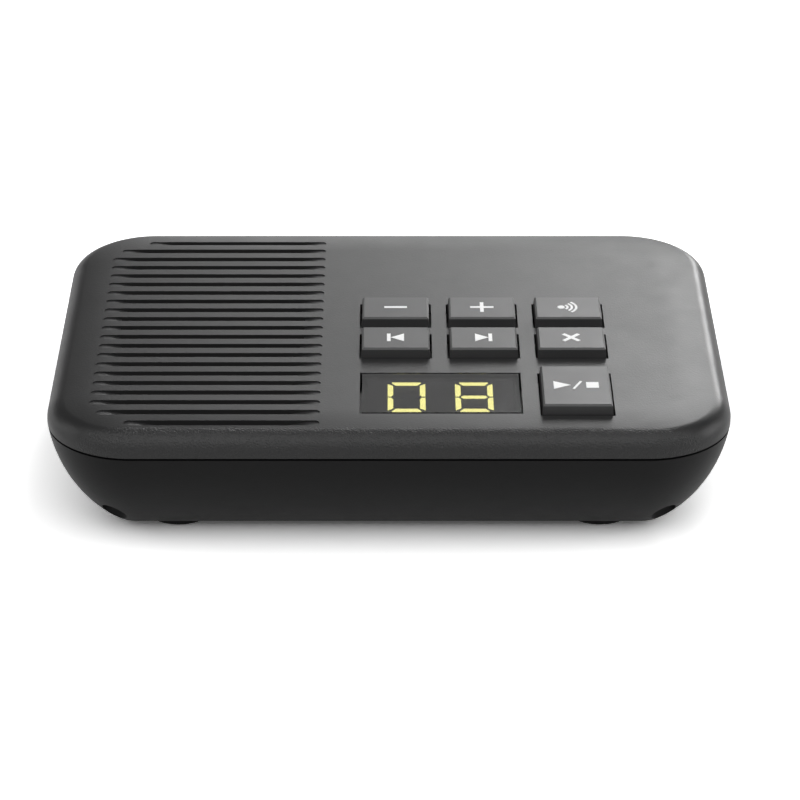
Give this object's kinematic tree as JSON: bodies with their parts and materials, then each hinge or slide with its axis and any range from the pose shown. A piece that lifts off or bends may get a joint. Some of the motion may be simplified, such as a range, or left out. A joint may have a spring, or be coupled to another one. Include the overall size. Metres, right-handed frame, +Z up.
{
  "type": "answering machine",
  "caption": "Low rounded desk answering machine with a slotted speaker grille, a two-digit display and raised push keys on a thin cover over a bowl-shaped case.",
  "frame": {"origin": "centre of the footprint, on the plane the rubber feet rest on", "axes": "+X to the user's right along the width, +Y to the back, +Z up"},
  "size_m": [0.1198, 0.0852, 0.0266],
  "materials": {
    "cover_plastic": "fine moulded texture",
    "case_plastic": "fine moulded texture",
    "rubber": "matte",
    "steel": "zinc plated",
    "board": "solder resist",
    "chip_black": "moulded",
    "capacitor_sleeve": "shrink sleeve",
    "tin_strip": "tinned",
    "socket_plastic": "moulded",
    "gold_wire": "gold plated",
    "smoked_lens": "smoked acrylic",
    "display_black": "black",
    "lit_segment": "lit",
    "gasket_foam": "foam",
    "magnet_ferrite": "ferrite",
    "cone_paper": "paper",
    "key_plastic": "satin",
    "switch_plastic": "moulded",
    "plunger_plastic": "moulded"
  },
  "bodies": {
    "housing": {"antenna_left": "tin_strip", "antenna_right": "tin_strip", "board_screws": "steel", "bottom_case": "case_plastic", "capacitors": "capacitor_sleeve", "case_screws": "steel", "clamp_screws": "steel", "crystal": "steel", "display_housing": "display_black", "display_lens": "smoked_lens", "display_segments": "lit_segment", "display_unlit_segment": "display_black", "foot_back_left": "rubber", "foot_back_right": "rubber", "foot_front_left": "rubber", "foot_front_right": "rubber", "line_contacts": "gold_wire", "line_socket": "socket_plastic", "line_transformer": "chip_black", "main_board": "board", "memory_chip": "chip_black", "power_contacts": "gold_wire", "power_socket": "socket_plastic", "processor_chip": "chip_black", "shield_can": "steel", "speaker_clamps": "steel", "speaker_contacts": "tin_strip", "speaker_frame": "steel", "speaker_gasket": "gasket_foam", "speaker_magnet": "magnet_ferrite", "speaker_surround": "gasket_foam", "switch_delete": "switch_plastic", "switch_minus": "switch_plastic", "switch_paging": "switch_plastic", "switch_play": "switch_plastic", "switch_plus": "switch_plastic", "switch_skip_back": "switch_plastic", "switch_skip_forward": "switch_plastic", "top_cover": "cover_plastic"},
    "speaker_cone_assembly": {"speaker_cone": "cone_paper"},
    "button_minus": {"key_minus": "key_plastic", "plunger_minus": "plunger_plastic"},
    "button_plus": {"key_plus": "key_plastic", "plunger_plus": "plunger_plastic"},
    "button_paging": {"key_paging": "key_plastic", "plunger_paging": "plunger_plastic"},
    "button_skip_back": {"key_skip_back": "key_plastic", "plunger_skip_back": "plunger_plastic"},
    "button_skip_forward": {"key_skip_forward": "key_plastic", "plunger_skip_forward": "plunger_plastic"},
    "button_delete": {"key_delete": "key_plastic", "plunger_delete": "plunger_plastic"},
    "button_play": {"key_play": "key_plastic", "plunger_play": "plunger_plastic"}
  },
  "joints": [
    {"name": "press_minus", "type": "slide", "parent": "housing", "child": "button_minus", "axis": [0, 0, -1], "range_m": [0, 0.0005], "stiffness_N_per_m": 800, "springref_m": -0.0004},
    {"name": "press_plus", "type": "slide", "parent": "housing", "child": "button_plus", "axis": [0, 0, -1], "range_m": [0, 0.0005], "stiffness_N_per_m": 800, "springref_m": -0.0004},
    {"name": "press_paging", "type": "slide", "parent": "housing", "child": "button_paging", "axis": [0, 0, -1], "range_m": [0, 0.0005], "stiffness_N_per_m": 800, "springref_m": -0.0004},
    {"name": "press_skip_back", "type": "slide", "parent": "housing", "child": "button_skip_back", "axis": [0, 0, -1], "range_m": [0, 0.0005], "stiffness_N_per_m": 800, "springref_m": -0.0004},
    {"name": "press_skip_forward", "type": "slide", "parent": "housing", "child": "button_skip_forward", "axis": [0, 0, -1], "range_m": [0, 0.0005], "stiffness_N_per_m": 800, "springref_m": -0.0004},
    {"name": "press_delete", "type": "slide", "parent": "housing", "child": "button_delete", "axis": [0, 0, -1], "range_m": [0, 0.0005], "stiffness_N_per_m": 800, "springref_m": -0.0004},
    {"name": "press_play", "type": "slide", "parent": "housing", "child": "button_play", "axis": [0, 0, -1], "range_m": [0, 0.0005], "stiffness_N_per_m": 800, "springref_m": -0.0004},
    {"name": "cone_travel", "type": "slide", "parent": "housing", "child": "speaker_cone_assembly", "axis": [0, 0, 1], "range_m": [-0.0003, 0.0003], "stiffness_N_per_m": 1500, "deforming": ["speaker_surround"]}
  ]
}
